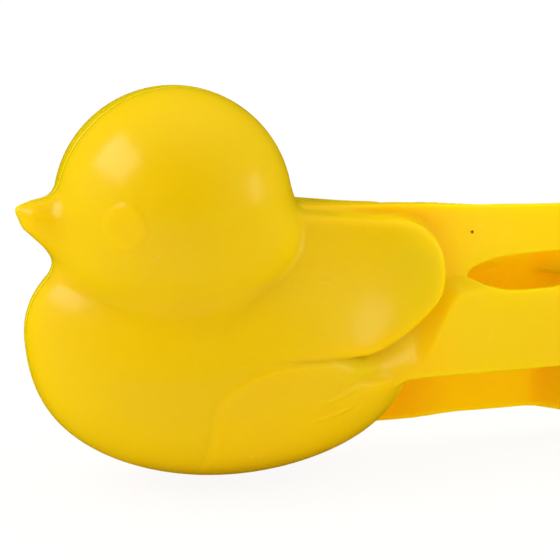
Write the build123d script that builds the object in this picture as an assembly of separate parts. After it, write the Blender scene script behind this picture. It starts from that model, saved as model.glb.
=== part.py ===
from build123d import *
import os

# Duck-shaped snow mould on crossing tongs. Millimetres, +Z up.
# +X runs from the beak to the handle ends. The mould parts at the plane y = 0:
# the near half lies at y < 0 and the far half at y > 0 while the mould is shut.
# Stations along X are measured from the beak tip and shifted to the origin at the end.

os.makedirs("parts", exist_ok=True)

# ---- overall ----
total_length = 370.0
wall = 2.0
parting_gap = 0.3            # between the two rims while the mould is shut
rim_y = parting_gap / 2
big = 400.0                  # longer than anything here, for cutting blocks
hair = 0.0001                # keeps two faces from lying in one plane

# ---- duck ----
head_x, head_z, head_r = 39.6, 69.9, 29.5
belly_x, belly_z = 53.3, 30.0
belly_length, belly_width, belly_height = 98.4, 66.0, 60.0
breast_x, breast_z = 51.2, 41.8
breast_length, breast_width, breast_height = 98.0, 46.0, 52.0
cheek_x, cheek_z = 41.3, 61.6
cheek_length, cheek_width, cheek_height = 64.0, 57.6, 42.0
beak_tip_z, beak_tip_r = 71.2, 1.1
beak_drop_deg = 20.0         # the beak's axis falls this much towards the head
beak_long, beak_base_r = 17.0, 10.8
beak_tip_thickening = 2.2    # the hollow starts this many walls behind the beak's tip
beak_hollow_tip_r = 0.4
eye_r, eye_raise = 6.1, 0.6
eye_forward, eye_side = 17.3, 22.2   # eye centre from the head's centre
wing_raise = 0.5
wing_front = [(50, 4), (51.5, 14), (58, 21), (70, 26)]
wing_back = [(70, 26), (90, 25.5), (94, 21), (86, 13), (72, 6), (50, 4)]
groove_long, groove_wide = 12.0, 0.9
upper_groove = (83, 20.5, 24)        # x and z of its middle, and its fall in degrees
lower_groove = (82, 16.0, 22)

# ---- tail ----
tail_depth, tail_round = 14.0, 5.0
tail_start_x, tail_low_start_z, tail_high_start_z = 58.0, 27.0, 67.2
tail_high_end = (94.0, 64.6)
tail_nose = (108.0, 50.0)
tail_low_end = (96.0, 35.0)

# ---- arms, duck side ----
arm_wall = 2.2
pivot_x = 156.0
arm_outer_y = 9.0            # outer face of an arm beside the pivot
slot_start_x, slot_full_x = 113.5, 135.0
near_low, near_high = 22.0, 68.0
shelf_z = 49.3               # above it an arm's web is set back
far_low, far_high = 6.7, 52.5
layer_gap = 0.3
near_lower_top = 43.0        # top of the near arm's lower prong
far_upper_low = near_lower_top + layer_gap
near_upper_low = far_high + layer_gap
near_upper_top = 64.5
near_slot_tip_z = 48.5
far_lower_top = near_low - layer_gap
far_slot_start_x, far_slot_full_x = 141.5, 147.5
slot_shoulder_along, slot_shoulder_drop = 0.35, 0.22   # where a slot's upper edge bends over
far_slot_tip_z = 31.0
arm_top_z = 80.0             # above every arm, for shapes that an outline then trims

# ---- pivot ----
knuckle_r = 8.5
pin_r, pin_clearance = 3.0, 0.05
pin_head_r, pin_head_high = 6.0, 2.4
pin_tip_below = 4.2
head_edge_r, cap_edge_r = 1.2, 1.0
cross_reach = 26.0           # the prongs are solid this far each side of the pin
prong_start_x = 126.0        # here the prongs leave the webs
prong_inner_y = 0.5          # at the prongs' handle ends, on the side away from the handle
prong_outer_extra = 1.4      # how much further out the prongs' handle ends reach

# ---- handles ----
handle_deep = 9.5
handle_start_x = pivot_x + 18
handle_start_y = arm_outer_y + 0.6
grip_low, grip_high = 20.0, 52.0
grip_start_x = 235.0
hang_x_from_end, hang_r, hang_boss_r = 15.0, 4.0, 7.5
rib_thick, rib_pitch, rib_count = 1.6, 28.0, 6
first_rib_x = 200.0


def ellipsoid(x, z, length, width, height, inset):
    """An ellipsoid on the parting plane, made smaller all round by inset."""
    size = (length / 2 - inset, width / 2 - inset, height / 2 - inset)
    return Pos(x, 0, z) * scale(Sphere(1), by=size)


def side_prism(outline, inset=0.0, depth=big):
    """A closed outline in X and Z, drawn out along both +Y and -Y."""
    face = make_face(Plane.XZ * outline)
    if inset:
        face = offset(face, -inset)
    return extrude(face, amount=depth, both=True)


def plan_prism(outline, low, high):
    """A closed outline in X and Y, drawn out from low to high along Z."""
    return extrude(make_face(Plane.XY.offset(low) * outline), amount=high - low)


def near_side(shape):
    """What lies on the near side of the parting plane."""
    return shape & Pos(0, -big / 2 - rim_y, 0) * Box(2 * big, big, 2 * big)


# ---- the duck's half shell ----

def beak(inset):
    """A cone whose tip is rounded, leaning down towards the head."""
    tip = beak_tip_r + hair
    axis = Plane(
        origin=(tip, 0, beak_tip_z),
        x_dir=(0, 1, 0),
        z_dir=Vector(1, 0, 0).rotate(Axis.Y, beak_drop_deg),
    )
    start = inset * beak_tip_thickening
    base = beak_base_r - inset
    point = max(beak_tip_r - inset, beak_hollow_tip_r)
    cone = axis * Pos(0, 0, start) * Cone(
        point, base, beak_long - start, align=(Align.CENTER, Align.CENTER, Align.MIN)
    )
    return cone + axis * Pos(0, 0, start) * Sphere(point)


def tail(inset):
    """The upright tail: a rounded paddle standing out from the parting plane."""
    start_low = (tail_start_x, tail_low_start_z)
    start_high = (tail_start_x, tail_high_start_z)
    outline = (
        Line(start_low, start_high)
        + Line(start_high, tail_high_end)
        + ThreePointArc(tail_high_end, tail_nose, tail_low_end)
        + Line(tail_low_end, start_low)
    )
    face = make_face(Plane.XZ * outline)
    if inset:
        face = offset(face, -inset)
    block = extrude(face, amount=tail_depth - inset, dir=(0, -1, 0))
    outer_edges = block.faces().sort_by(Axis.Y)[0].edges()
    return fillet(outer_edges, tail_round - inset)


def duck_volume(inset):
    """Everything inside the duck's skin, or inside the cavity for inset = wall."""
    head = Pos(head_x, 0, head_z) * Sphere(head_r - inset)
    belly = ellipsoid(belly_x, belly_z, belly_length, belly_width, belly_height, inset)
    breast = ellipsoid(breast_x, breast_z, breast_length, breast_width, breast_height, inset)
    cheek = ellipsoid(cheek_x, cheek_z, cheek_length, cheek_width, cheek_height, inset)
    return near_side(head + cheek + belly + breast + beak(inset)) + near_side(tail(inset))


def eye():
    """A low round disc that follows the head."""
    disc = Pos(head_x, 0, head_z) * Sphere(head_r + eye_raise)
    disc += ellipsoid(cheek_x, cheek_z, cheek_length, cheek_width, cheek_height, -eye_raise)
    look = Plane(
        origin=(head_x, 0, head_z), x_dir=(0, 0, 1), z_dir=(-eye_forward, -eye_side, 0)
    )
    reach = look * Cylinder(eye_r, 2 * head_r, align=(Align.CENTER, Align.CENTER, Align.MIN))
    return disc & reach


def wing():
    """A low raised patch on the flank, with two feather grooves at its tip."""
    skin = ellipsoid(belly_x, belly_z, belly_length, belly_width, belly_height, -wing_raise)
    outline = Spline(*wing_front) + Polyline(*wing_back)
    patch = near_side(skin & side_prism(outline))
    for x, z, fall in (upper_groove, lower_groove):
        patch -= Pos(x, 0, z) * Rot(0, -fall, 0) * Box(groove_long, big, groove_wide)
    return patch


def half_shell():
    outer = duck_volume(0.0) + near_side(eye()) + wing()
    return outer - duck_volume(wall)


# ---- the arms ----

def strip(path, depth, low, high):
    """The space between a smooth path and the same path moved by depth along Y."""
    back = [(x, y + depth) for x, y in reversed(path)]
    outline = Spline(*path) + Line(path[-1], back[0]) + Spline(*back) + Line(back[-1], path[0])
    return plan_prism(outline, low, high)


def up_to_parting(path, low, high):
    """The space between a smooth path and the parting plane."""
    end = (path[-1][0], -rim_y)
    start = (path[0][0], -rim_y)
    outline = Spline(*path) + Polyline(path[-1], end, start, path[0])
    return plan_prism(outline, low, high)


def side_outline(points):
    return Polyline(*points, points[0])


# outer faces of the webs, seen from above: they start inside the duck's skin
flank_path = [(66, -26), (98, -15.5), (118, -10.8), (pivot_x - 6, -arm_outer_y)]
back_path = [(60, -4.5), (98, -5.2), (118, -8.0), (pivot_x - 6, -arm_outer_y)]
under_path = [(66, -10.5), (98, -10.0), (118, -9.6), (pivot_x - 6, -arm_outer_y)]


def web(path, low, high_start, high_end):
    """The wall from the duck's flank to the pivot."""
    start, end = path[0][0], path[-1][0]
    outline = side_outline([(start, low), (end, low), (end, high_end), (start, high_start)])
    return strip(path, arm_wall, 0, arm_top_z) & side_prism(outline)


def shelf(outer_path, inner_path, top):
    """Joins one wall to another that is set back from it."""
    plate = up_to_parting(outer_path, top - arm_wall, top)
    behind = up_to_parting([(x, y + arm_wall) for x, y in inner_path], 0, arm_top_z)
    return plate - behind


def prong(low, high):
    """A solid prong that crosses from the near side to the far side at the pin."""
    handle_end = pivot_x + cross_reach
    web_inner_y = -(arm_outer_y - arm_wall)
    start_outer = (prong_start_x, -arm_outer_y)
    start_inner = (prong_start_x, web_inner_y)
    across = (pivot_x, knuckle_r)
    outline = (
        Spline(start_inner, across, tangents=[(1, 0), (1, 0.1)])
        + Polyline(
            across, (handle_end, arm_outer_y + prong_outer_extra), (handle_end, prong_inner_y),
            (pivot_x, -knuckle_r), start_outer, start_inner,
        )
    )
    knuckle = Pos(pivot_x, 0, low) * Cylinder(
        knuckle_r, high - low, align=(Align.CENTER, Align.CENTER, Align.MIN)
    )
    return plan_prism(outline, low, high) + knuckle


# outer face of a handle, seen from above
handle_path = [
    (handle_start_x, handle_start_y), (pivot_x + 60, 17.5), (pivot_x + 120, 30.0),
    (pivot_x + 175, 36.5), (total_length, 36.0),
]


def handle(low, high):
    """The channel-shaped handle, ribbed inside, with a hanging hole at its end."""
    start = handle_start_x
    end_r = (grip_high - grip_low) / 2
    end_x = total_length - end_r
    middle = (grip_low + grip_high) / 2
    outline = (
        Polyline((end_x, grip_low), (grip_start_x, grip_low), (start, low), (start, high),
                 (grip_start_x, grip_high), (end_x, grip_high))
        + ThreePointArc((end_x, grip_high), (total_length, middle), (end_x, grip_low))
    )
    hollow_path = [(x, y - arm_wall) for x, y in handle_path]
    block = strip(handle_path, -handle_deep, 0, arm_top_z)
    hollow = strip(hollow_path, -handle_deep, 0, arm_top_z)
    filled = block & side_prism(outline)
    body = filled - (hollow & side_prism(outline, arm_wall))
    for number in range(rib_count):
        rib_x = first_rib_x + number * rib_pitch
        body += filled & Pos(rib_x, 0, 0) * Box(rib_thick, big, big)
    hang_x = total_length - hang_x_from_end
    boss = filled & Pos(hang_x, 0, middle) * Rot(90, 0, 0) * Cylinder(hang_boss_r, big)
    hole = Pos(hang_x, 0, middle) * Rot(90, 0, 0) * Cylinder(hang_r, big)
    return body + boss - hole


def window(start, full, low, high, tip_z):
    """The opening in an arm's web that the other arm's prong crosses through."""
    end = pivot_x + cross_reach
    along = slot_shoulder_along * (full - start)
    shoulder = (start + along, high - slot_shoulder_drop * (high - tip_z))
    outline = (
        Spline((start, tip_z), shoulder, (full, high), tangents=[(0.1, 1), (1, 0)])
        + Polyline((full, high), (end, high), (end, low), (full, low))
        + Spline((full, low), (start, tip_z), tangents=[(-1, 0), (-1, 0.9)])
    )
    return side_prism(outline)


def pin_hole():
    return Pos(pivot_x, 0, 0) * Cylinder(pin_r + pin_clearance, big)


def near_arm(duck):
    body = web(flank_path, near_low, shelf_z, shelf_z)
    body += web(back_path, shelf_z - arm_wall, near_high, near_upper_top)
    body += shelf(flank_path, back_path, shelf_z)
    body += handle(near_low, near_upper_top)
    body -= window(slot_start_x, slot_full_x, near_lower_top, near_upper_low, near_slot_tip_z)
    body += prong(near_low, near_lower_top) + prong(near_upper_low, near_upper_top)
    return body - pin_hole() - duck


def far_arm(duck):
    """Built on the near side, then mirrored to its own side."""
    step_top = near_low + arm_wall
    body = web(under_path, far_low, step_top, step_top)
    body += web(flank_path, near_low, shelf_z, shelf_z)
    body += web(back_path, shelf_z - arm_wall, far_high, far_high)
    body += shelf(flank_path, under_path, step_top) + shelf(flank_path, back_path, shelf_z)
    body += handle(far_low, far_high)
    body -= window(
        far_slot_start_x, far_slot_full_x, far_lower_top, far_upper_low, far_slot_tip_z
    )
    body += prong(far_low, far_lower_top) + prong(far_upper_low, far_high)
    return mirror(body - pin_hole() - duck, about=Plane.XZ)


# ---- the pin ----

def hinge_pin():
    head = Pos(pivot_x, 0, near_upper_top) * Cylinder(
        pin_head_r, pin_head_high, align=(Align.CENTER, Align.CENTER, Align.MIN)
    )
    head = fillet(head.edges().group_by(Axis.Z)[-1], head_edge_r)
    foot = far_low - pin_tip_below
    shank = Pos(pivot_x, 0, foot) * Cylinder(
        pin_r, near_upper_top - foot, align=(Align.CENTER, Align.CENTER, Align.MIN)
    )
    return head + shank


def pin_cap():
    top = far_low - layer_gap
    foot = far_low - pin_tip_below
    ring = Pos(pivot_x, 0, foot) * Cylinder(
        pin_head_r, top - foot, align=(Align.CENTER, Align.CENTER, Align.MIN)
    )
    ring = fillet(ring.edges().group_by(Axis.Z)[0], cap_edge_r)
    return ring - Pos(pivot_x, 0, 0) * Cylinder(pin_r, big)


def write(shape, name):
    export_step(Pos(-total_length / 2, 0, 0) * shape, f"parts/{name}.step")


duck = duck_volume(0.0) + wing()
near_shell = half_shell()
write(near_shell, "near_mould_half")
write(mirror(near_shell, about=Plane.XZ), "far_mould_half")
write(near_arm(duck), "near_arm")
write(far_arm(duck), "far_arm")
write(hinge_pin(), "hinge_pin")
write(pin_cap(), "pin_cap")
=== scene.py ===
import math

import bpy
import numpy as np
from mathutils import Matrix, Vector


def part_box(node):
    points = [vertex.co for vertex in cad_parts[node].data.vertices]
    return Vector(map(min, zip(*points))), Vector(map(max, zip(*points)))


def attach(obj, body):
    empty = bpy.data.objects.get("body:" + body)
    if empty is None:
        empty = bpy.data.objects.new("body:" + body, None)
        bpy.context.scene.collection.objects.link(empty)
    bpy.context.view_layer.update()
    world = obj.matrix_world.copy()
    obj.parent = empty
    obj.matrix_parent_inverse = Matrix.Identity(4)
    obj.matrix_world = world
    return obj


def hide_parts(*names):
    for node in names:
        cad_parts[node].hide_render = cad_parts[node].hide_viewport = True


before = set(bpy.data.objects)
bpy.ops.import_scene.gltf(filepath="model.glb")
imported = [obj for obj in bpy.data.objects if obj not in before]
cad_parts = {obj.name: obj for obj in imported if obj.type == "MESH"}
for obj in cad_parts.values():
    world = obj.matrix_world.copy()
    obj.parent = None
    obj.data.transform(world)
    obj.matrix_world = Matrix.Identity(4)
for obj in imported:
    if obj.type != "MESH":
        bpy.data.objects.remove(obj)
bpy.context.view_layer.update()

# Duck snow mould on crossing tongs: two glossy yellow mouldings on one upright pin.
# Each moulding is a distance field (negative inside), meshed by dual contouring, so that the
# duck, its tail and the arms flow into each other as one injection moulding does.
# Shapes are in millimetres: X from the beak tip to the handle ends, the parting plane at y = 0,
# Z up from the duck's lowest point. Both mouldings are described on the near side, y < 0.

BEAK_TIP_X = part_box("near_mould_half")[0].x * 1000
PIVOT_X = (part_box("hinge_pin")[0].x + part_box("hinge_pin")[1].x) * 500 - BEAK_TIP_X
HANDLE_END_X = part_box("near_arm")[1].x * 1000 - BEAK_TIP_X

# ---- shell ----
WALL = 2.0
RIM_Y = 0.15                   # half the gap between the two rims
CAVITY_EDGE = 0.3

# ---- duck: balls are ((x, z) of the centre, radii) ----
HEAD = ((39.6, 69.7), (29.5, 29.5, 29.5))
CHEEK = ((41.3, 61.2), (31.7, 28.5, 20.0))
BELLY = ((52.6, 30.2), (48.6, 33.0, 29.7))
BREAST = ((51.2, 41.8), (48.8, 22.5, 25.6))
BEAK_TIP, BEAK_MIDDLE, BEAK_BASE = (1.4, 70.9), (5.3, 69.0), (18.0, 65.0)
BEAK_TIP_R, BEAK_MIDDLE_R, BEAK_BASE_R = 1.4, 4.3, 10.4
BEAK_NARROW = 0.88
HEAD_MERGE, BODY_MERGE, BEAK_MERGE, TAIL_MERGE = 3.0, 8.5, 3.5, 9.0
# the crease at the neck: its rounding, how much softer it gets below the cheek and at the throat
NECK_MERGE, NECK_SOFT, THROAT_SOFT = 1.8, 5.0, 2.2
NECK_SOFTENS, NECK_HARDENS = (15.0, 32.0), (44.0, 58.0)
THROAT_FADES = (8.0, 20.0)
EYE_R, EYE_RAISE, EYE_EDGE = 5.9, 0.36, 1.2
EYE_CENTRE = (41.0, 70.6)
EYE_DIR = (-0.645, -0.764)     # from the head's middle to the near eye, in X and Y
WING_RAISE, FEATHER_RAISE = 0.45, 0.3
WING_CORNER, WING_CORNER_R = (59.3, 23.0), (18.0, 12.0)   # the wing's round upper front corner
WING_EDGE = (0.95, 1.05)
WING_FADES_LOW = (2.0, 12.0)                              # the relief fades out at the bottom
WING_FADES_X, WING_FADES_Z = (62.0, 75.0), (23.0, 30.0)   # and under the tail
FEATHERS = ((73.4, 26.0), (72.2, 21.4))                   # middles of the feather ridges
FEATHER_SLOPE, FEATHER_BEND = 0.2, 0.012
FEATHER_WIDTH, FEATHER_LENGTH = (0.2, 1.1), (3.0, 8.0)    # each from full height to nothing

# ---- tail ----
TAIL_START, TAIL_END = 42.0, 106.7      # it starts inside the duck
TAIL_TOP, TAIL_FALL = 69.0, 0.085
TAIL_UNDER, TAIL_RISE, TAIL_RISE_FROM = 27.6, 0.3, 71.0
TAIL_UNDER_SCALE = 0.96                 # turns a height above the sloping underside into a distance
TAIL_SIDE = 14.0
DECK_EDGE_Y, DECK_DROP = 11.6, 6.3      # the bevel along the tail's top: its start and its fall
TAIL_TOP_ROUND, TAIL_UNDER_ROUND, TAIL_SIDE_ROUND, DECK_ROUND = 13.5, 11.0, 2.0, 0.9

# ---- arms: outer faces of the webs as (x, distance from the parting plane) ----
ARM_WALL = 2.2
ROOT_THICKER, ROOT_THINS = 1.0, (104.0, 118.0)      # the wall is thicker where it leaves the duck
SHELF_LOW, SHELF_HIGH = 43.6, 47.7       # the bend between the near arm's two plates
LEDGE_LOW, LEDGE_FALL, LEDGE_FROM = 31.6, 0.19, 66.0    # beside the duck the bend starts lower
SHELF_STEEPENS = (98.0, 112.0)
LEDGE_FADE, LEDGE_FADE_DEEP = (70.0, 90.0), 6.0
FLANK = [(60, 31.0), (72, 27.8), (85, 21.8), (98, 16.0), (106, 13.1), (118, 10.8),
         (150, 9.0), (200, 9.0)]
BACK = [(60, 4.5), (98, 5.2), (118, 8.0), (150, 9.0), (200, 9.0)]
UNDER = [(60, 10.5), (98, 10.0), (118, 9.6), (150, 9.0), (200, 9.0)]
TAIL_LOW_EDGE = [(60, 34.8), (66, 34.8), (76, 34.4), (84, 33.8), (90, 34.4), (98, 37.0), (108, 44.2)]
LEDGE_ROUND, LEDGE_CRISP, LEDGE_BEVEL = 3.0, 1.2, 0.9
HANDLE = [(150, 6.6), (174, 9.6), (216, 17.5), (276, 30.0), (331, 36.5), (370, 36.0)]
ARM_START_X, ARM_END_X = 62.0, 172.0
ARM_SCALE = 0.93               # turns an offset across the slanting wall into a distance
ARM_EDGE_ROUND, ARM_END_ROUND = 1.0, 0.5
TOP_SLOPES_FROM, TOP_SLOPES_OVER = 60.0, 90.0    # where an arm's top edge starts to fall, how long
UNDER_STEP = (20.5, 24.5)      # heights between which the far arm's lowest plate bends out
EDGE_CURL, EDGE_CURL_END_X = 0.0015, 135.0   # how the near wall's lower edge rises to the flank
CROSS_REACH = 26.0
KNUCKLE_R, PIN_HOLE_R = 8.5, 3.05
KNUCKLE_MERGE, PIN_HOLE_EDGE, PRONG_EDGE = 2.0, 0.5, 0.8
HANDLE_START, GRIP_START = 174.0, 235.0
GRIP_LOW, GRIP_HIGH, HANDLE_DEEP = 20.0, 52.0, 9.5
HANG_X, HANG_R, HANG_BOSS_R = 355.0, 4.0, 7.5
HANG_ROUND = 0.8
FIRST_RIB, RIB_PITCH, RIB_HALF = 200.0, 28.0, 0.8
RIBS_FROM, RIBS_TO, NO_RIB = 190.0, 346.0, 9.0    # outside the stretch with ribs, NO_RIB stands in
RIB_SUNK, RIB_MERGE = 0.5, 0.6
HANDLE_ROUND, HANDLE_RIM_ROUND, CHANNEL_ROUND = 1.4, 0.8, 0.7

NEAR = {
    "low": 22.0, "high": (68.3, 64.5), "under": False,
    "window": (114.4, 135.0, 43.0, 52.8, 47.4),
    "prongs": ((22.0, 43.0), (52.8, 64.5)),
}
FAR = {
    "low": 6.7, "high": (52.5, 52.5), "under": True,
    "window": (145.5, 148.6, 21.7, 43.3, 31.0),
    "prongs": ((6.7, 21.7), (43.3, 52.5)),
}

# a window's upper edge rises bluntly from its tip, its lower edge is level after a share of the way
WINDOW_BLUNT, WINDOW_LEVELS, WINDOW_ROUND = 2.4, 0.8, 0.7

# a prong's faces, by distance from the parting plane; its place along x is counted in reaches
PRONG_SWINGS = (-0.85, 0.04)    # between these it swings across
PRONG_OUTER, PRONG_OUTER_TURNS = -7.8, 8.3
PRONG_INNER, PRONG_INNER_SWING = -8.4, 16.9
PRONG_CROSSED, PRONG_CROSSED_TURNS = 8.5, 1.9
PRONG_SCALE = 0.8
PRONG_LEAD = 2.0                # half of how much further it reaches forward than back

# joints between the fields, and the stretch of x in which each is worked out
ARM_MERGE, PRONG_MERGE, HANDLE_MERGE = 2.0, 0.4, 1.5
DUCK_TO_X, HANDLE_FROM_X = 128.0, 165.0
ARM_FROM_X, ARM_TO_X = 56.0, 185.0
PRONG_FROM_X, PRONG_TO_X = 125.0, 190.0
FAR_AWAY = 50.0

GATE, GATE_R, GATE_PROUD, GATE_SUNK = (115.5, 59.1), 0.38, 0.15, 0.4
GATE_SIDES, GATE_TAPER = 20, 0.7

# ---- material ----
BASE_YELLOW, WORN_YELLOW = (0.95, 0.56, 0.0, 1), (0.97, 0.66, 0.05, 1)
NEAR_PAINTED_GLOW, FAR_PAINTED_GLOW = (0.95, 0.66, 0.0, 1), (0.98, 0.63, 0.0, 1)    # painted glow: the arms' thin walls are coloured paler, standing in for light shining through them
PAINTED_GLOW_FROM = (-0.095, -0.075)
# painted shade: the gate mark's dark colour stands in for the shadow in its tiny recess
GATE_PAINTED_SHADE, GATE_PAINTED_SHADE_WORN = (0.25, 0.11, 0.004, 1), (0.2, 0.1, 0.01, 1)
SUBSURFACE, FAR_SUBSURFACE, SUBSURFACE_RADIUS = 0.7, 1.0, (0.007, 0.0045, 0.0003)
PLASTIC_IOR = 1.45
FLOW, SKIN, SMUDGE = (18.0, 2.0), (900.0, 3.0), (65.0, 4.0)     # scale and detail of each noise
SCRATCH, SCRATCH_STRETCH = (1.0, 2.0), (60.0, 700.0, 420.0)
# each spread is (from low, from high, to low, to high)
EDGE_SPREAD, RUB_SPREAD = (0.56, 0.66, 0.0, 1.0), (0.4, 0.65, 0.15, 0.8)
SHADE_SPREAD = (0.35, 0.65, 0.97, 1.0)
ROUGH_SPREAD, SCRATCH_SPREAD = (0.35, 0.7, 0.2, 0.27), (0.5, 0.8, 0.0, 0.015)
EDGE_PALER, EDGE_ROUGHER = 0.35, 0.12
SMUDGE_HEIGHT, BUMP_STRENGTH, BUMP_DISTANCE = 1.5, 0.05, 0.0002

# ---- light ----
FRONT_LIGHT, ROUND_LIGHT = (0.76, 0.55, 0.25, 1), (1.38, 1.41, 1.25, 1)
GLOSS_LIGHT, BACK_DIMS = 0.01, 0.6
FLOOR_GREY, FLOOR_EMITS = (0.85, 0.85, 0.85, 1), 0.15
FLOOR_GLOW, FLOOR_DARK = 0.9, 1.0      # how far the floor is white to the camera, black in gloss
FLOOR_ROUGH, FLOOR_SHINE = 0.9, 0.1
FLOOR_HALF, FLOOR_Z = 3.0, -0.0002
FRONT_SPREAD = (0.3, 0.85, 0.0, 1.0)   # from beside the object to near the camera
LIT_FROM = (-0.14, 0.0, 0.06)          # the duck's middle, which the soft boxes look at
LEFT_BOX = ((-0.74, 0.04, 0.67), (0.75, 0.5), 2.4)
RIGHT_BOX = ((0.94, -0.27, 0.22), (0.28, 0.3), 1.2)

# ---- camera ----
VIEW_SWING, VIEW_RISE = -17, 15
LOOKS_AT = (66.5, -2.3, 49.0)
CAMERA_AWAY, VIEW_WIDTH = 0.75, 0.14
CLIP_NEAR, CLIP_FAR = 0.01, 20

# ---- meshing ----
BLOCK = 8
HOLD = 0.08                    # keeps each point near the middle of its cell's crossings
EVEN = 0.94                    # how far a cell's normals must agree to count as an even stretch
FINE, COARSE = 0.75, 1.4
DETAIL_END_X = 151.0
GRID_LOW, GRID_HIGH_Y, GRID_HIGH_Z, GRID_PAST_END = (-1.5, -35.0, -1.5), 40.0, 101.0, 3.0
BLOCK_REACH, BLOCK_SPARE = 0.62, 1.0    # a block is sampled in full this near the surface
PROBE, REFINE_STEPS = 0.04, 3
SHARP_DEGREES = 38


# ==== distance fields ====

def smooth_min(a, b, k):
    """The union of two fields, rounded over k."""
    h = np.maximum(k - np.abs(a - b), 0.0) / k
    return np.minimum(a, b) - h * h * k * 0.25


def smooth_max(a, b, k):
    return -smooth_min(-a, -b, k)


def ramp(low, high, v):
    t = np.clip((v - low) / (high - low), 0.0, 1.0)
    return t * t * (3.0 - 2.0 * t)


def curve(x, points):
    """A smooth curve through a few points."""
    xs = np.array([p[0] for p in points], np.float32)
    ys = np.array([p[1] for p in points], np.float32)
    slope = np.gradient(ys, xs)
    i = np.clip(np.searchsorted(xs, x) - 1, 0, len(xs) - 2)
    step = xs[i + 1] - xs[i]
    t = np.clip((x - xs[i]) / step, 0.0, 1.0)
    t2, t3 = t * t, t * t * t
    return (
        (2 * t3 - 3 * t2 + 1) * ys[i] + (t3 - 2 * t2 + t) * step * slope[i]
        + (3 * t2 - 2 * t3) * ys[i + 1] + (t3 - t2) * step * slope[i + 1]
    )


def ellipsoid(x, y, z, centre, radii):
    ax, ay, az = (x - centre[0]) / radii[0], y / radii[1], (z - centre[1]) / radii[2]
    k0 = np.sqrt(ax * ax + ay * ay + az * az)
    k1 = np.sqrt((ax / radii[0]) ** 2 + (ay / radii[1]) ** 2 + (az / radii[2]) ** 2) + 1e-9
    return k0 * (k0 - 1.0) / k1


def round_cone(x, y, z, a, b, r1, r2):
    """A cone between two balls, the small one at a and the large one at b."""
    bx, bz = b[0] - a[0], b[1] - a[1]
    l2 = bx * bx + bz * bz
    rr = r1 - r2
    a2 = l2 - rr * rr
    px, pz = x - a[0], z - a[1]
    yy = px * bx + pz * bz
    zz = yy - l2
    x2 = (px * l2 - bx * yy) ** 2 + (y * l2) ** 2 + (pz * l2 - bz * yy) ** 2
    y2, z2 = yy * yy * l2, zz * zz * l2
    k = math.copysign(rr * rr, rr) * x2
    d = (np.sqrt(x2 * a2 / l2) + yy * rr) / l2 - r1
    d = np.where(np.sign(yy) * a2 * y2 < k, np.sqrt(x2 + y2) / l2 - r1, d)
    return np.where(np.sign(zz) * a2 * z2 > k, np.sqrt(x2 + z2) / l2 - r2, d)


# ---- the duck ----

def tail(x, y, z):
    """An upright paddle: level top, round end, and an underside that rises towards its end."""
    top = z - (TAIL_TOP - TAIL_FALL * (x - TAIL_START))
    under = (TAIL_UNDER + TAIL_RISE * (x - TAIL_RISE_FROM) - z) * TAIL_UNDER_SCALE
    edge = smooth_max(smooth_max(top, x - TAIL_END, TAIL_TOP_ROUND), under, TAIL_UNDER_ROUND)
    width = TAIL_SIDE - DECK_EDGE_Y
    slope = math.hypot(width, DECK_DROP)
    bevel = ((-y - DECK_EDGE_Y) * DECK_DROP + top * width) / slope
    side = smooth_max(bevel, -y - TAIL_SIDE, DECK_ROUND)
    side = smooth_max(edge, side, TAIL_SIDE_ROUND)
    return smooth_max(side, TAIL_START - x, TAIL_SIDE_ROUND)


def eye(x, y, z):
    """How far the skin stands proud at the eye."""
    dx, dz = x - EYE_CENTRE[0], z - EYE_CENTRE[1]
    along = dx * EYE_DIR[0] + y * EYE_DIR[1]
    off = np.sqrt((dx - along * EYE_DIR[0]) ** 2 + (y - along * EYE_DIR[1]) ** 2 + dz * dz)
    return EYE_RAISE * (1.0 - ramp(EYE_R - EYE_EDGE, EYE_R + EYE_EDGE / 2, off)) * (along > 0)


def wing(x, y, z):
    """How far the skin stands proud at the wing and its two feather ridges."""
    ahead = np.maximum(WING_CORNER[0] - x, 0.0) / WING_CORNER_R[0]
    above = np.maximum(z - WING_CORNER[1], 0.0) / WING_CORNER_R[1]
    patch = 1.0 - ramp(*WING_EDGE, np.sqrt(ahead * ahead + above * above))
    by_tail = ramp(*WING_FADES_X, x) * ramp(*WING_FADES_Z, z)
    patch = patch * ramp(*WING_FADES_LOW, z) * (1.0 - by_tail)
    ridge = 0.0
    for gx, gz in FEATHERS:
        along = x - gx
        across = np.abs(z - gz - FEATHER_SLOPE * along - FEATHER_BEND * along * along)
        streak = (1.0 - ramp(*FEATHER_WIDTH, across)) * (1.0 - ramp(*FEATHER_LENGTH, np.abs(along)))
        ridge = np.maximum(ridge, streak)
    return WING_RAISE * patch + FEATHER_RAISE * ridge


def ledge(x):
    """The height at which the belly gives way to the wall above it."""
    return LEDGE_LOW - LEDGE_FALL * (x - LEDGE_FROM)


def plate_face(x, z):
    """How far the bent wall's outer face stands from the parting plane."""
    bend_low = ledge(x) + (SHELF_LOW - ledge(x)) * ramp(*SHELF_STEEPENS, x)
    upper = ramp(bend_low, SHELF_HIGH, z)
    return curve(x, FLANK) * (1 - upper) + curve(x, BACK) * upper


def under_tail(x, y, z):
    """The space under the tail, outside the wall that runs back from the flank."""
    face = plate_face(x, z) + LEDGE_FADE_DEEP * (1 - ramp(*LEDGE_FADE, x))
    space = np.maximum(face + y, z - curve(x, TAIL_LOW_EDGE))
    return smooth_max(space, (ledge(x) - z) * LEDGE_BEVEL, LEDGE_CRISP)


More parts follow.
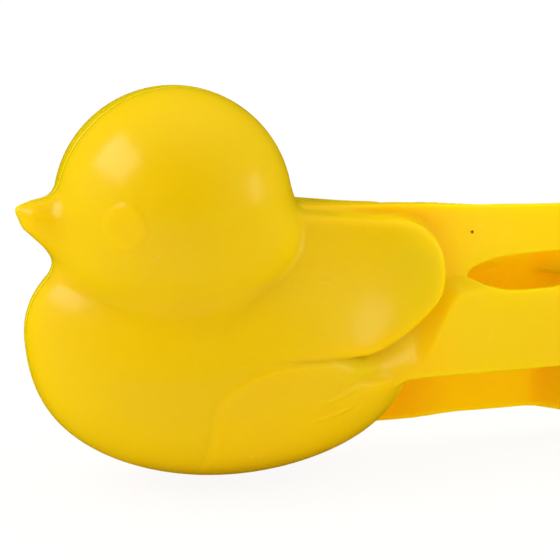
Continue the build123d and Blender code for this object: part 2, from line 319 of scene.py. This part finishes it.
def duck(x, y, z, relief=True):
    """The whole duck, solid; relief adds the eyes, wings and feathers."""
    y = -np.abs(y)
    head = smooth_min(ellipsoid(x, y, z, *HEAD), ellipsoid(x, y, z, *CHEEK), HEAD_MERGE)
    if relief:
        head = head - eye(x, y, z)
    across = y * BEAK_NARROW
    beak = np.minimum(
        round_cone(x, across, z, BEAK_TIP, BEAK_MIDDLE, BEAK_TIP_R, BEAK_MIDDLE_R),
        round_cone(x, across, z, BEAK_MIDDLE, BEAK_BASE, BEAK_MIDDLE_R, BEAK_BASE_R),
    )
    head = smooth_min(head, beak, BEAK_MERGE)
    body = smooth_min(ellipsoid(x, y, z, *BELLY), ellipsoid(x, y, z, *BREAST), BODY_MERGE)
    if relief:
        body = body - wing(x, y, z)
    body = smooth_min(body, tail(x, y, z), TAIL_MERGE)
    body = smooth_max(body, -under_tail(x, y, z), LEDGE_ROUND)
    softer = ramp(*NECK_SOFTENS, x) - ramp(*NECK_HARDENS, x)
    throat = 1.0 - ramp(*THROAT_FADES, x)
    return smooth_min(head, body, NECK_MERGE + NECK_SOFT * softer + THROAT_SOFT * throat)


# ---- the arm ----

def window(x, z, start, full, low, high, tip):
    """The opening that the other arm's prong crosses through: negative inside."""
    t = np.clip((x - start) / (full - start), 0.0, 1.0)
    upper = tip + (high - tip) * np.sqrt(np.clip(1.0 - (1.0 - t) ** WINDOW_BLUNT, 0, 1))
    levelled = np.minimum(t / WINDOW_LEVELS, 1.0)
    lower = tip - (tip - low) * (1.0 - (1.0 - levelled) ** 2)
    d = np.maximum(z - upper, lower - z)
    return np.maximum(d, np.maximum(start - x, x - PIVOT_X - CROSS_REACH))


def arm(x, y, z, spec):
    """The bent wall from the duck's flank to the pivot, its upper part set back."""
    low = spec["low"] + EDGE_CURL * np.square(np.maximum(EDGE_CURL_END_X - x, 0.0))
    first, last = spec["high"]
    high = first + (last - first) * (x - TOP_SLOPES_FROM) / TOP_SLOPES_OVER
    outer = plate_face(x, z)
    if spec["under"]:
        low = spec["low"]
        lower = 1 - ramp(*UNDER_STEP, z)
        outer = curve(x, UNDER) * lower + outer * (1 - lower)
    half = ARM_WALL / 2 + ROOT_THICKER * (1 - ramp(*ROOT_THINS, x))
    d = (np.abs(-y - outer + half) - half) * ARM_SCALE
    d = smooth_max(d, np.maximum(low - z, z - high), ARM_EDGE_ROUND)
    d = smooth_max(d, x - ARM_END_X, ARM_END_ROUND)
    d = smooth_max(d, ARM_START_X - x, ARM_END_ROUND)
    return smooth_max(d, -window(x, z, *spec["window"]), WINDOW_ROUND)


def prongs(x, y, z, spec):
    """The prongs that swing across at the pivot, with the pin's hole through them."""
    t = np.minimum((x - PIVOT_X) / CROSS_REACH, 1.0)
    outer = np.where(t < 0, PRONG_OUTER, PRONG_OUTER + PRONG_OUTER_TURNS * t)
    swinging = PRONG_INNER + PRONG_INNER_SWING * ramp(*PRONG_SWINGS, t)
    inner = np.where(t < 0, swinging, PRONG_CROSSED + PRONG_CROSSED_TURNS * t)
    across = np.maximum(outer - y, (y - inner) * PRONG_SCALE)
    d = np.maximum(across, np.abs(x - PIVOT_X + PRONG_LEAD) - CROSS_REACH - PRONG_LEAD)
    from_pin = np.sqrt((x - PIVOT_X) ** 2 + y * y)
    d = smooth_min(d, from_pin - KNUCKLE_R, KNUCKLE_MERGE)
    layers = [
        smooth_max(d, np.maximum(low - z, z - high), PRONG_EDGE) for low, high in spec["prongs"]
    ]
    return smooth_max(np.minimum(*layers), PIN_HOLE_R - from_pin, PIN_HOLE_EDGE)


def handle(x, y, z, spec):
    """The channel-shaped handle, ribbed inside, with a hanging hole at its round end."""
    t = ramp(HANDLE_START, GRIP_START, x)
    low = spec["low"] + (GRIP_LOW - spec["low"]) * t
    high = spec["high"][1] + (GRIP_HIGH - spec["high"][1]) * t
    middle, end_r = (GRIP_LOW + GRIP_HIGH) / 2, (GRIP_HIGH - GRIP_LOW) / 2
    round_x = HANDLE_END_X - end_r
    off = np.sqrt(np.maximum(x - round_x, 0) ** 2 + (z - middle) ** 2)
    edge = np.where(x > round_x, off - end_r, np.maximum(low - z, z - high))
    edge = np.maximum(edge, HANDLE_START - x)
    out = y - curve(x, HANDLE)
    block = smooth_max(edge, out, HANDLE_ROUND)
    block = smooth_max(block, -(out + HANDLE_DEEP), HANDLE_RIM_ROUND)
    hollow = np.maximum(edge + ARM_WALL, out + ARM_WALL)
    d = smooth_max(block, -hollow, CHANNEL_ROUND)
    rib = np.abs(np.mod(x - FIRST_RIB + RIB_PITCH / 2, RIB_PITCH) - RIB_PITCH / 2) - RIB_HALF
    rib = np.where((x > RIBS_TO) | (x < RIBS_FROM), NO_RIB, rib)
    d = smooth_min(d, np.maximum(rib, block + RIB_SUNK), RIB_MERGE)
    hang = np.sqrt((x - HANG_X) ** 2 + (z - middle) ** 2)
    d = smooth_min(d, np.maximum(hang - HANG_BOSS_R, block), HANG_ROUND)
    return smooth_max(d, HANG_R - hang, HANG_ROUND)


def moulding(x, y, z, spec):
    """One moulding: half the hollow duck, its arm, prongs and handle."""
    first, last = x.min(), x.max()
    solid = np.full_like(x, FAR_AWAY)
    if first < DUCK_TO_X:
        solid = duck(x, y, z)
    if last > ARM_FROM_X and first < ARM_TO_X:
        near_part = np.maximum(arm(x, y, z, spec), y + RIM_Y)
        solid = smooth_min(solid, near_part, ARM_MERGE)
    if first < DUCK_TO_X:
        cavity = duck(x, y, z, relief=False) + WALL
        solid = smooth_max(solid, -cavity, CAVITY_EDGE)
        solid = np.maximum(solid, y + RIM_Y)
    if last > PRONG_FROM_X and first < PRONG_TO_X:
        solid = smooth_min(solid, prongs(x, y, z, spec), PRONG_MERGE)
    if last > HANDLE_FROM_X:
        solid = smooth_min(solid, handle(x, y, z, spec), HANDLE_MERGE)
    return solid


# ==== meshing a field ====

def grid_lines(start, *spans):
    """Grid lines along one axis: each span is (end, step). Padded to whole blocks."""
    lines = [start]
    for end, step in spans:
        count = int(round((end - lines[-1]) / step))
        lines += list(np.linspace(lines[-1], end, count + 1)[1:])
    while len(lines) % BLOCK:
        lines.append(lines[-1] + spans[-1][1])
    return np.array(lines, np.float32)


def sample(field, axes):
    """The field at every grid point, in full only in the blocks near the surface."""
    blocks = [a.reshape(-1, BLOCK) for a in axes]
    middles = [b.mean(axis=1) for b in blocks]
    size = [b[:, -1] - b[:, 0] + (b[:, 1] - b[:, 0]) for b in blocks]
    counts = [len(b) for b in blocks]
    solid = np.empty((counts[0], BLOCK, counts[1], BLOCK, counts[2], BLOCK), np.float32)
    ym, zm = np.meshgrid(middles[1], middles[2], indexing="ij")
    for i in range(counts[0]):
        xm = np.full(ym.size, middles[0][i], np.float32)
        rough = field(xm, ym.ravel(), zm.ravel())
        reach = BLOCK_REACH * math.hypot(size[0][i], size[1].max(), size[2].max()) + BLOCK_SPARE
        solid[i] = rough.reshape(1, counts[1], 1, counts[2], 1)
        j, k = np.nonzero(np.abs(rough).reshape(counts[1], counts[2]) < reach)
        if not len(j):
            continue
        full = (len(j), BLOCK, BLOCK, BLOCK)
        x = np.broadcast_to(blocks[0][i][None, :, None, None], full).ravel()
        y = np.broadcast_to(blocks[1][j][:, None, :, None], full).ravel()
        z = np.broadcast_to(blocks[2][k][:, None, None, :], full).ravel()
        solid[i][:, j, :, k, :] = field(x, y, z).reshape(full)
    return solid.reshape([c * BLOCK for c in counts])


def in_chunks(field, points, chunk=60000):
    """The field at a list of points, which lie in order of x."""
    return np.concatenate([field(*points[s:s + chunk].T) for s in range(0, len(points), chunk)])


def gradient(field, points):
    """The field's unit gradient, from four samples round each point."""
    total = np.zeros_like(points)
    for corner in ((1, -1, -1), (-1, -1, 1), (-1, 1, -1), (1, 1, 1)):
        shift = np.array(corner, np.float32)
        total += shift * in_chunks(field, points + shift * np.float32(PROBE))[:, None]
    return total / (np.linalg.norm(total, axis=1, keepdims=True) + 1e-9)


def crossings(field, axes, solid):
    """Where grid edges pass through the surface: cell, place, normal, and whether they leave."""
    inside = solid < 0
    found = []
    for axis in range(3):
        low = [slice(None)] * 3
        high = [slice(None)] * 3
        low[axis], high[axis] = slice(None, -1), slice(1, None)
        low, high = tuple(low), tuple(high)
        where = np.argwhere(inside[low] != inside[high])
        other = where.copy()
        other[:, axis] += 1
        leaves = inside[tuple(where.T)]
        a = np.stack([axes[n][where[:, n]] for n in range(3)], axis=1)
        b = np.stack([axes[n][other[:, n]] for n in range(3)], axis=1)
        fa, fb = solid[tuple(where.T)], solid[tuple(other.T)]
        for _ in range(REFINE_STEPS):
            p = a + (b - a) * (fa / (fa - fb))[:, None]
            f = in_chunks(field, p)
            left = (f < 0) == (fa < 0)
            a, fa = np.where(left[:, None], p, a), np.where(left, f, fa)
            b, fb = np.where(left[:, None], b, p), np.where(left, fb, f)
            fb = np.where(np.abs(fa - fb) < 1e-7, fa + 1e-6, fb)
        found.append((where, p, gradient(field, p), leaves))
    return found


def contour(field, axes):
    """A closed mesh of the field: its points, quads, and which points lie on even stretches."""
    solid = sample(field, axes)
    found = crossings(field, axes, solid)
    shape = solid.shape
    corners = ((-1, -1), (0, -1), (0, 0), (-1, 0))
    cells = []
    for axis, (where, *_) in enumerate(found):
        b, c = (axis + 1) % 3, (axis + 2) % 3
        ring = []
        for db, dc in corners:
            at = where.copy()
            at[:, b] += db
            at[:, c] += dc
            ring.append(np.ravel_multi_index(tuple(at.T), shape))
        cells.append(np.stack(ring, axis=1))
    flat = np.concatenate([c.ravel() for c in cells])
    names, index = np.unique(flat, return_inverse=True)
    count = len(names)
    point = np.repeat(np.concatenate([f[1] for f in found]), 4, axis=0).astype(np.float64)
    normal = np.repeat(np.concatenate([f[2] for f in found]), 4, axis=0).astype(np.float64)

    def total(values):
        return np.bincount(index, weights=values, minlength=count)

    hits = total(np.ones(len(index)))
    middle = np.stack([total(point[:, n]) for n in range(3)], axis=1) / hits[:, None]
    reach = (normal * (point - middle[index])).sum(axis=1)
    square = np.empty((count, 3, 3))
    for n in range(3):
        for m in range(n, 3):
            square[:, n, m] = square[:, m, n] = total(normal[:, n] * normal[:, m])
    right = np.stack([total(normal[:, n] * reach) for n in range(3)], axis=1)
    square[:, [0, 1, 2], [0, 1, 2]] += HOLD
    place = middle + np.linalg.solve(square, right[..., None])[..., 0]
    cell = np.stack(np.unravel_index(names, shape), axis=1)
    for n in range(3):
        low, high = axes[n][cell[:, n]], axes[n][np.minimum(cell[:, n] + 1, shape[n] - 1)]
        place[:, n] = np.clip(place[:, n], low, high)
    pull = np.stack([total(normal[:, n]) for n in range(3)], axis=1)
    even = np.linalg.norm(pull, axis=1) > EVEN * hits
    leaves = np.concatenate([f[3] for f in found])
    quads = index.reshape(-1, 4)
    return place, np.concatenate([quads[leaves], quads[~leaves][:, ::-1]]), even


def smooth_normals(field, places, even):
    """The field's own normal at each point of an even stretch, and none where it bends sharply."""
    order = np.argsort(places[:, 0])
    normals = np.zeros((len(places), 3), np.float32)
    normals[order] = gradient(field, places[order].astype(np.float32))
    normals[~even] = 0.0
    return normals


def mesh_piece(name, places, faces, normals, side):
    """A mesh object in metres. side is -1 for the far half, which is mirrored."""
    row = places.copy()
    row[:, 0] += BEAK_TIP_X
    row[:, 1] *= side
    row /= 1000.0
    if side < 0:
        faces = faces[:, ::-1]
        normals = normals * np.array([1, -1, 1], np.float32)
    mesh = bpy.data.meshes.new(name)
    mesh.vertices.add(len(row))
    mesh.vertices.foreach_set("co", row.astype(np.float32).ravel())
    mesh.loops.add(faces.size)
    mesh.loops.foreach_set("vertex_index", faces.astype(np.int32).ravel())
    mesh.polygons.add(len(faces))
    mesh.polygons.foreach_set("loop_start", np.arange(0, faces.size, 4, dtype=np.int32))
    mesh.polygons.foreach_set("use_smooth", np.ones(len(faces), bool))
    mesh.update(calc_edges=True)
    mesh.validate()
    mesh.set_sharp_from_angle(angle=math.radians(SHARP_DEGREES))
    mesh.normals_split_custom_set_from_vertices(normals)
    obj = bpy.data.objects.new(name, mesh)
    bpy.context.scene.collection.objects.link(obj)
    return obj


def build_moulding(prefix, spec, side, material):
    """One whole moulding as a single mesh, on its body."""
    def field(x, y, z):
        return moulding(x, y, z, spec)

    axes = (
        grid_lines(GRID_LOW[0], (DETAIL_END_X, FINE), (HANDLE_END_X + GRID_PAST_END, COARSE)),
        grid_lines(GRID_LOW[1], (GRID_HIGH_Y, FINE)),
        grid_lines(GRID_LOW[2], (GRID_HIGH_Z, FINE)),
    )
    places, faces, even = contour(field, axes)
    normals = smooth_normals(field, places, even)
    piece = mesh_piece(f"{prefix}_moulding", places, faces, normals, side)
    piece.data.materials.append(material)
    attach(piece, f"{prefix}_half")
    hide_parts(f"{prefix}_mould_half", f"{prefix}_arm")
    print(piece.name, len(places), "points", len(faces), "faces")


def gate_mark(material):
    """The small stub left where the plastic entered the mould, on the near arm's upper plate; its dark
    colour is painted shade, standing in for the shadow of a tiny recess.
    """
    x, z = GATE
    y = -float(plate_face(np.float32([x]), np.float32([z]))[0])
    rings = [(GATE_R, GATE_SUNK), (GATE_R, -GATE_PROUD / 2), (GATE_R * GATE_TAPER, -GATE_PROUD)]
    count = GATE_SIDES
    points, faces = [], []
    for radius, out in rings:
        for i in range(count):
            angle = 2 * math.pi * i / count
            points.append((
                (x + radius * math.cos(angle) + BEAK_TIP_X) / 1000,
                (y + out) / 1000,
                (z + radius * math.sin(angle)) / 1000,
            ))
    for ring in range(len(rings) - 1):
        for i in range(count):
            a, b = ring * count + i, ring * count + (i + 1) % count
            faces.append((a, b, b + count, a + count))
    faces.append(tuple(range(count))[::-1])
    faces.append(tuple(range((len(rings) - 1) * count, len(rings) * count)))
    mesh = bpy.data.meshes.new("gate_mark")
    mesh.from_pydata(points, [], faces)
    mark = bpy.data.objects.new("gate_mark", mesh)
    bpy.context.scene.collection.objects.link(mark)
    mesh.materials.append(material)
    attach(mark, "near_half")


# ==== materials ====

class Nodes:
    """Short names for the few node kinds a material here is made of."""

    def __init__(self, tree):
        self.tree = tree

    def add(self, kind, inputs=(), **settings):
        node = self.tree.nodes.new(kind)
        for key, value in settings.items():
            setattr(node, key, value)
        for key, value in dict(inputs).items():
            self.set(node.inputs[key], value)
        return node

    def set(self, socket, value):
        if isinstance(value, bpy.types.NodeSocket):
            self.tree.links.new(value, socket)
        else:
            socket.default_value = value

    def noise(self, place, scale, detail):
        node = self.add("ShaderNodeTexNoise", {"Vector": place, "Scale": scale, "Detail": detail})
        return node.outputs["Fac"]

    def spread(self, value, low, high, start, end):
        """Maps the range low..high to start..end, held at both ends."""
        node = self.add("ShaderNodeMapRange", {
            "Value": value, "From Min": low, "From Max": high, "To Min": start, "To Max": end,
        })
        return node.outputs["Result"]

    def blend(self, amount, one, two):
        node = self.add("ShaderNodeMix", data_type="RGBA")
        for socket, value in ((node.inputs[0], amount), (node.inputs[6], one), (node.inputs[7], two)):
            self.set(socket, value)
        return node.outputs[2]

    def maths(self, operation, one, two):
        node = self.add("ShaderNodeMath", operation=operation)
        self.set(node.inputs[0], one)
        self.set(node.inputs[1], two)
        return node.outputs[0]


def plastic(name, base, worn, painted_glow, subsurface=SUBSURFACE):
    """Glossy moulded polypropylene: slightly uneven skin, light handling marks, rubbed edges."""
    material = bpy.data.materials.new(name)
    material.use_nodes = True
    n = Nodes(material.node_tree)
    shader = material.node_tree.nodes["Principled BSDF"]
    place = n.add("ShaderNodeTexCoord").outputs["Object"]
    flow = n.noise(place, *FLOW)
    skin = n.noise(place, *SKIN)
    smudge = n.noise(place, *SMUDGE)
    scratch_place = n.add("ShaderNodeMapping", {"Vector": place, "Scale": SCRATCH_STRETCH})
    scratch = n.noise(scratch_place.outputs["Vector"], *SCRATCH)
    pointy = n.add("ShaderNodeNewGeometry").outputs["Pointiness"]
    edge = n.maths("MULTIPLY", n.spread(pointy, *EDGE_SPREAD), n.spread(smudge, *RUB_SPREAD))
    along = n.add("ShaderNodeSeparateXYZ", {"Vector": place}).outputs["X"]
    # painted glow: along x the colour turns to the paler arm colour, standing in for light shining
    # through the arms' thin walls
    wall = n.blend(n.spread(along, *PAINTED_GLOW_FROM, 0.0, 1.0), base, painted_glow)
    shade = n.spread(flow, *SHADE_SPREAD)
    tone = n.add("ShaderNodeVectorMath", operation="SCALE")
    n.set(tone.inputs[0], wall)
    n.set(tone.inputs["Scale"], shade)
    paler = n.maths("MULTIPLY", edge, EDGE_PALER)
    n.set(shader.inputs["Base Color"], n.blend(paler, tone.outputs[0], worn))
    rough = n.spread(smudge, *ROUGH_SPREAD)
    rough = n.maths("ADD", rough, n.spread(scratch, *SCRATCH_SPREAD))
    rougher = n.maths("MULTIPLY", edge, EDGE_ROUGHER)
    n.set(shader.inputs["Roughness"], n.maths("ADD", rough, rougher))
    height = n.maths("ADD", skin, n.maths("MULTIPLY", smudge, SMUDGE_HEIGHT))
    bump = n.add("ShaderNodeBump", {
        "Height": height, "Strength": BUMP_STRENGTH, "Distance": BUMP_DISTANCE,
    })
    n.set(shader.inputs["Normal"], bump.outputs["Normal"])
    shader.inputs["IOR"].default_value = PLASTIC_IOR
    shader.inputs["Subsurface Weight"].default_value = subsurface
    shader.inputs["Subsurface Radius"].default_value = SUBSURFACE_RADIUS
    shader.inputs["Subsurface Scale"].default_value = 1.0
    return material


# ==== the object ====

yellow = plastic("yellow_plastic", BASE_YELLOW, WORN_YELLOW, BASE_YELLOW)
near_plastic = plastic("near_plastic", BASE_YELLOW, WORN_YELLOW, NEAR_PAINTED_GLOW)
build_moulding("near", NEAR, 1, near_plastic)
far_plastic = plastic("far_plastic", BASE_YELLOW, WORN_YELLOW, FAR_PAINTED_GLOW, FAR_SUBSURFACE)
build_moulding("far", FAR, -1, far_plastic)
# the gate mark's dark colour is painted shade
gate_mark(plastic("gate_painted_shade", GATE_PAINTED_SHADE, GATE_PAINTED_SHADE_WORN, GATE_PAINTED_SHADE))
for name in ("hinge_pin", "pin_cap"):
    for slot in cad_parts[name].material_slots:
        slot.material = yellow


# ==== stage ====

def view_back():
    """The direction from the duck to the camera."""
    swing, rise = math.radians(VIEW_SWING), math.radians(VIEW_RISE)
    return Vector((
        math.sin(swing) * math.cos(rise), -math.cos(swing) * math.cos(rise), math.sin(rise)
    ))


def add_camera():
    """A camera turned towards the beak, looking down a little."""
    target = Vector((LOOKS_AT[0] + BEAK_TIP_X, LOOKS_AT[1], LOOKS_AT[2])) / 1000
    back = view_back()
    data = bpy.data.cameras.new("camera")
    data.lens = data.sensor_width * CAMERA_AWAY / VIEW_WIDTH
    data.clip_start, data.clip_end = CLIP_NEAR, CLIP_FAR
    camera = bpy.data.objects.new("camera", data)
    camera.location = target + back * CAMERA_AWAY
    camera.rotation_mode = "QUATERNION"
    camera.rotation_quaternion = (-back).to_track_quat("-Z", "Y")
    bpy.context.scene.collection.objects.link(camera)
    bpy.context.scene.camera = camera


def add_floor():
    """A pale floor that glows a little, as a light tent's does, so that shadows stay faint."""
    mesh = bpy.data.meshes.new("floor")
    r = FLOOR_HALF
    mesh.from_pydata([(-r, -r, 0), (r, -r, 0), (r, r, 0), (-r, r, 0)], [], [(0, 1, 2, 3)])
    floor = bpy.data.objects.new("floor", mesh)
    floor.location.z = FLOOR_Z
    bpy.context.scene.collection.objects.link(floor)
    material = bpy.data.materials.new("pale_floor")
    material.use_nodes = True
    shader = material.node_tree.nodes["Principled BSDF"]
    shader.inputs["Base Color"].default_value = FLOOR_GREY
    shader.inputs["Roughness"].default_value = FLOOR_ROUGH
    shader.inputs["Specular IOR Level"].default_value = FLOOR_SHINE
    shader.inputs["Emission Color"].default_value = (1, 1, 1, 1)
    shader.inputs["Emission Strength"].default_value = FLOOR_EMITS
    n = Nodes(material.node_tree)
    path = n.add("ShaderNodeLightPath")
    glow = n.add("ShaderNodeEmission")
    mix = n.add("ShaderNodeMixShader")
    n.set(mix.inputs[0], n.maths("MULTIPLY", path.outputs["Is Camera Ray"], FLOOR_GLOW))
    n.set(mix.inputs[1], shader.outputs[0])
    n.set(mix.inputs[2], glow.outputs[0])
    dark = n.add("ShaderNodeMixShader")
    n.set(dark.inputs[0], n.maths("MULTIPLY", path.outputs["Is Glossy Ray"], FLOOR_DARK))
    n.set(dark.inputs[1], mix.outputs[0])
    black = n.add("ShaderNodeEmission", {"Strength": 0.0})
    n.set(dark.inputs[2], black.outputs[0])
    n.set(material.node_tree.nodes["Material Output"].inputs["Surface"], dark.outputs[0])
    mesh.materials.append(material)


def add_box(name, way, size, glow):
    """A soft box a metre from the duck, in the direction way; glow is its brightness."""
    data = bpy.data.lights.new(name, "AREA")
    data.shape = "RECTANGLE"
    data.size, data.size_y = size
    data.energy = glow * math.pi * size[0] * size[1]
    light = bpy.data.objects.new(name, data)
    direction = Vector(way).normalized()
    light.location = Vector(LIT_FROM) + direction
    light.rotation_mode = "QUATERNION"
    light.rotation_quaternion = (-direction).to_track_quat("-Z", "Y")
    bpy.context.scene.collection.objects.link(light)


def add_world():
    """A light tent: dimmer and warmer to the front and back, dark in reflections, white to the eye."""
    world = bpy.data.worlds.new("studio")
    world.use_nodes = True
    n = Nodes(world.node_tree)
    way = n.add("ShaderNodeTexCoord").outputs["Generated"]
    dot = n.add("ShaderNodeVectorMath", operation="DOT_PRODUCT")
    n.set(dot.inputs[0], way)
    n.set(dot.inputs[1], view_back())
    behind = n.maths("MULTIPLY", dot.outputs["Value"], -BACK_DIMS)
    facing = n.maths("MAXIMUM", dot.outputs["Value"], behind)
    front = n.spread(facing, *FRONT_SPREAD)
    tent = n.blend(front, ROUND_LIGHT, FRONT_LIGHT)
    path = n.add("ShaderNodeLightPath")
    seen = n.blend(path.outputs["Is Glossy Ray"], tent, (GLOSS_LIGHT, GLOSS_LIGHT, GLOSS_LIGHT, 1))
    seen = n.blend(path.outputs["Is Camera Ray"], seen, (1, 1, 1, 1))
    n.set(world.node_tree.nodes["Background"].inputs["Color"], seen)
    bpy.context.scene.world = world


add_camera()
add_floor()
add_world()
add_box("left_box", *LEFT_BOX)
add_box("right_box", *RIGHT_BOX)
bpy.context.scene.view_settings.view_transform = "Standard"
